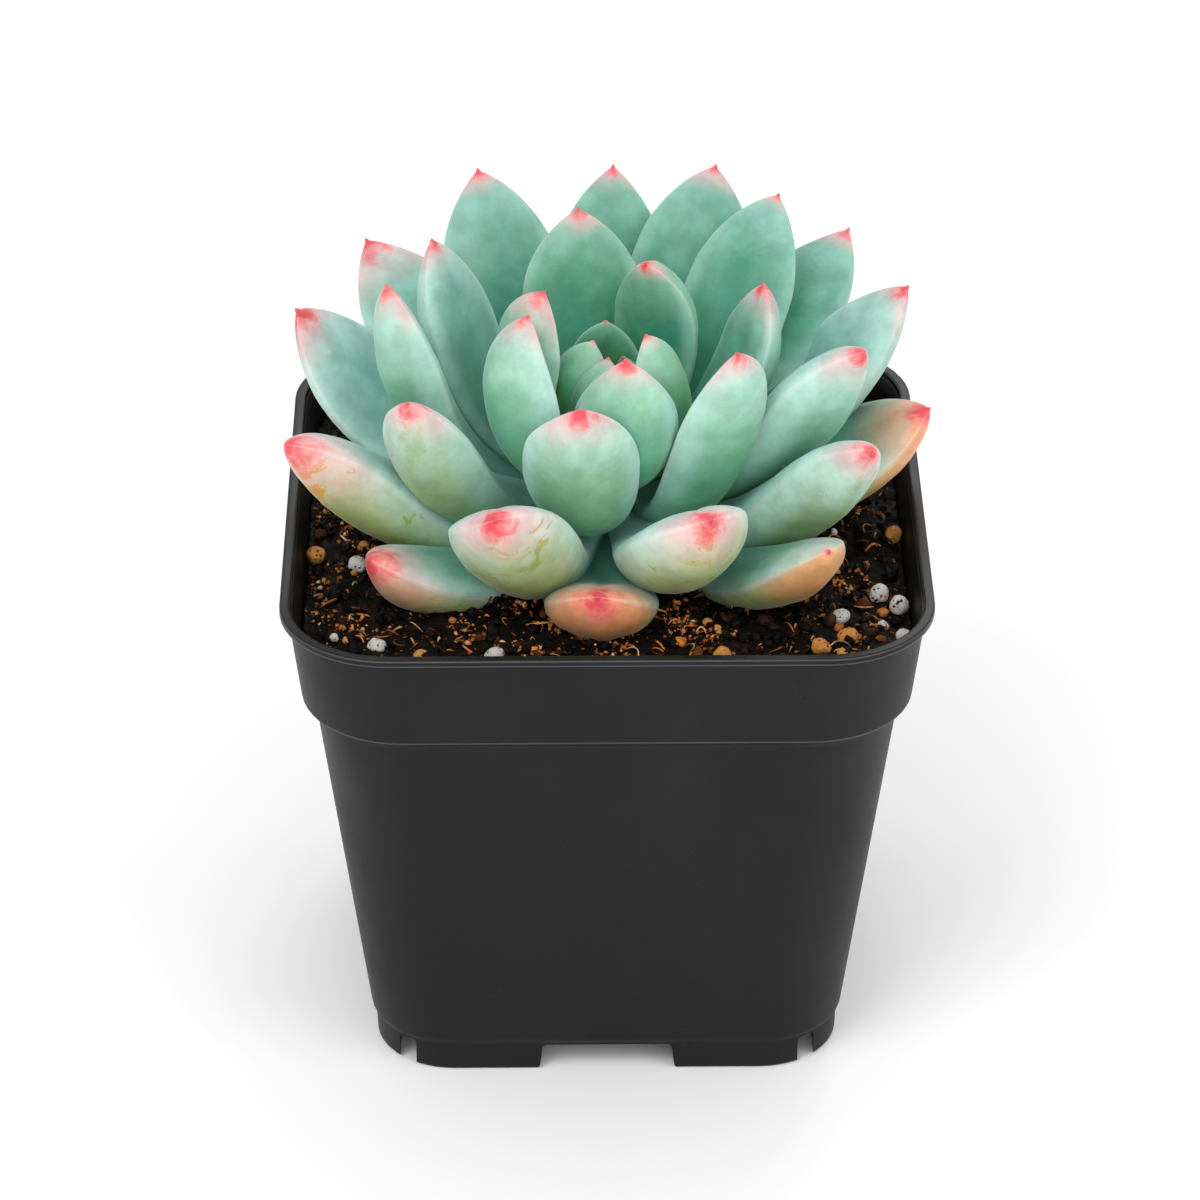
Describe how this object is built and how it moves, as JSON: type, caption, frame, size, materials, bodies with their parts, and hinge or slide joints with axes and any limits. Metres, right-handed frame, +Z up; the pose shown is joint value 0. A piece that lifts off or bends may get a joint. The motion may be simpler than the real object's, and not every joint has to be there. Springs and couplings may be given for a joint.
{
  "type": "potted succulent",
  "caption": "Rosette succulent with thick pointed blue-green leaves and rosy tips, growing in dark potting mix in a square black plastic nursery pot.",
  "frame": {"origin": "middle of the pot's footprint, on the surface that it stands on", "axes": "+Z up; -Y the front side of the pot, X along that side"},
  "size_m": [0.1012, 0.1, 0.1265],
  "materials": {
    "black_plastic": "matt near-black moulded plastic with a very fine grain and slightly shinier edges",
    "potting_mix": "rough, crumbly, nearly black potting mix with bark bits and orange-brown fibres",
    "stem": "dull green-brown skin",
    "leaf": "smooth fleshy leaf under a powdery pale bloom, blue-green with rose-red points and pale edges",
    "perlite": "off-white porous grain with dark pits",
    "pumice": "ochre porous grain, dull"
  },
  "bodies": {
    "root": {"pot": "black_plastic", "potting_mix": "potting_mix", "stem": "stem", "leaf_01": "leaf", "leaf_02": "leaf", "leaf_03": "leaf", "leaf_04": "leaf", "leaf_05": "leaf", "leaf_06": "leaf", "leaf_07": "leaf", "leaf_08": "leaf", "leaf_09": "leaf", "leaf_10": "leaf", "leaf_11": "leaf", "leaf_12": "leaf", "leaf_13": "leaf", "leaf_14": "leaf", "leaf_15": "leaf", "leaf_16": "leaf", "leaf_17": "leaf", "leaf_18": "leaf", "leaf_19": "leaf", "leaf_20": "leaf", "leaf_21": "leaf", "leaf_22": "leaf", "leaf_23": "leaf", "leaf_24": "leaf", "leaf_25": "leaf", "leaf_26": "leaf", "leaf_27": "leaf", "leaf_28": "leaf", "leaf_29": "leaf", "leaf_30": "leaf", "leaf_31": "leaf", "leaf_32": "leaf", "leaf_33": "leaf", "leaf_34": "leaf", "leaf_35": "leaf", "leaf_36": "leaf", "leaf_37": "leaf", "leaf_38": "leaf", "perlite_01": "perlite", "perlite_02": "perlite", "perlite_03": "perlite", "perlite_04": "perlite", "perlite_05": "perlite", "perlite_06": "perlite", "perlite_07": "perlite", "perlite_08": "perlite", "pumice_01": "pumice", "pumice_02": "pumice", "pumice_03": "pumice", "pumice_04": "pumice", "pumice_05": "pumice", "pumice_06": "pumice", "pumice_07": "pumice"}
  },
  "joints": []
}
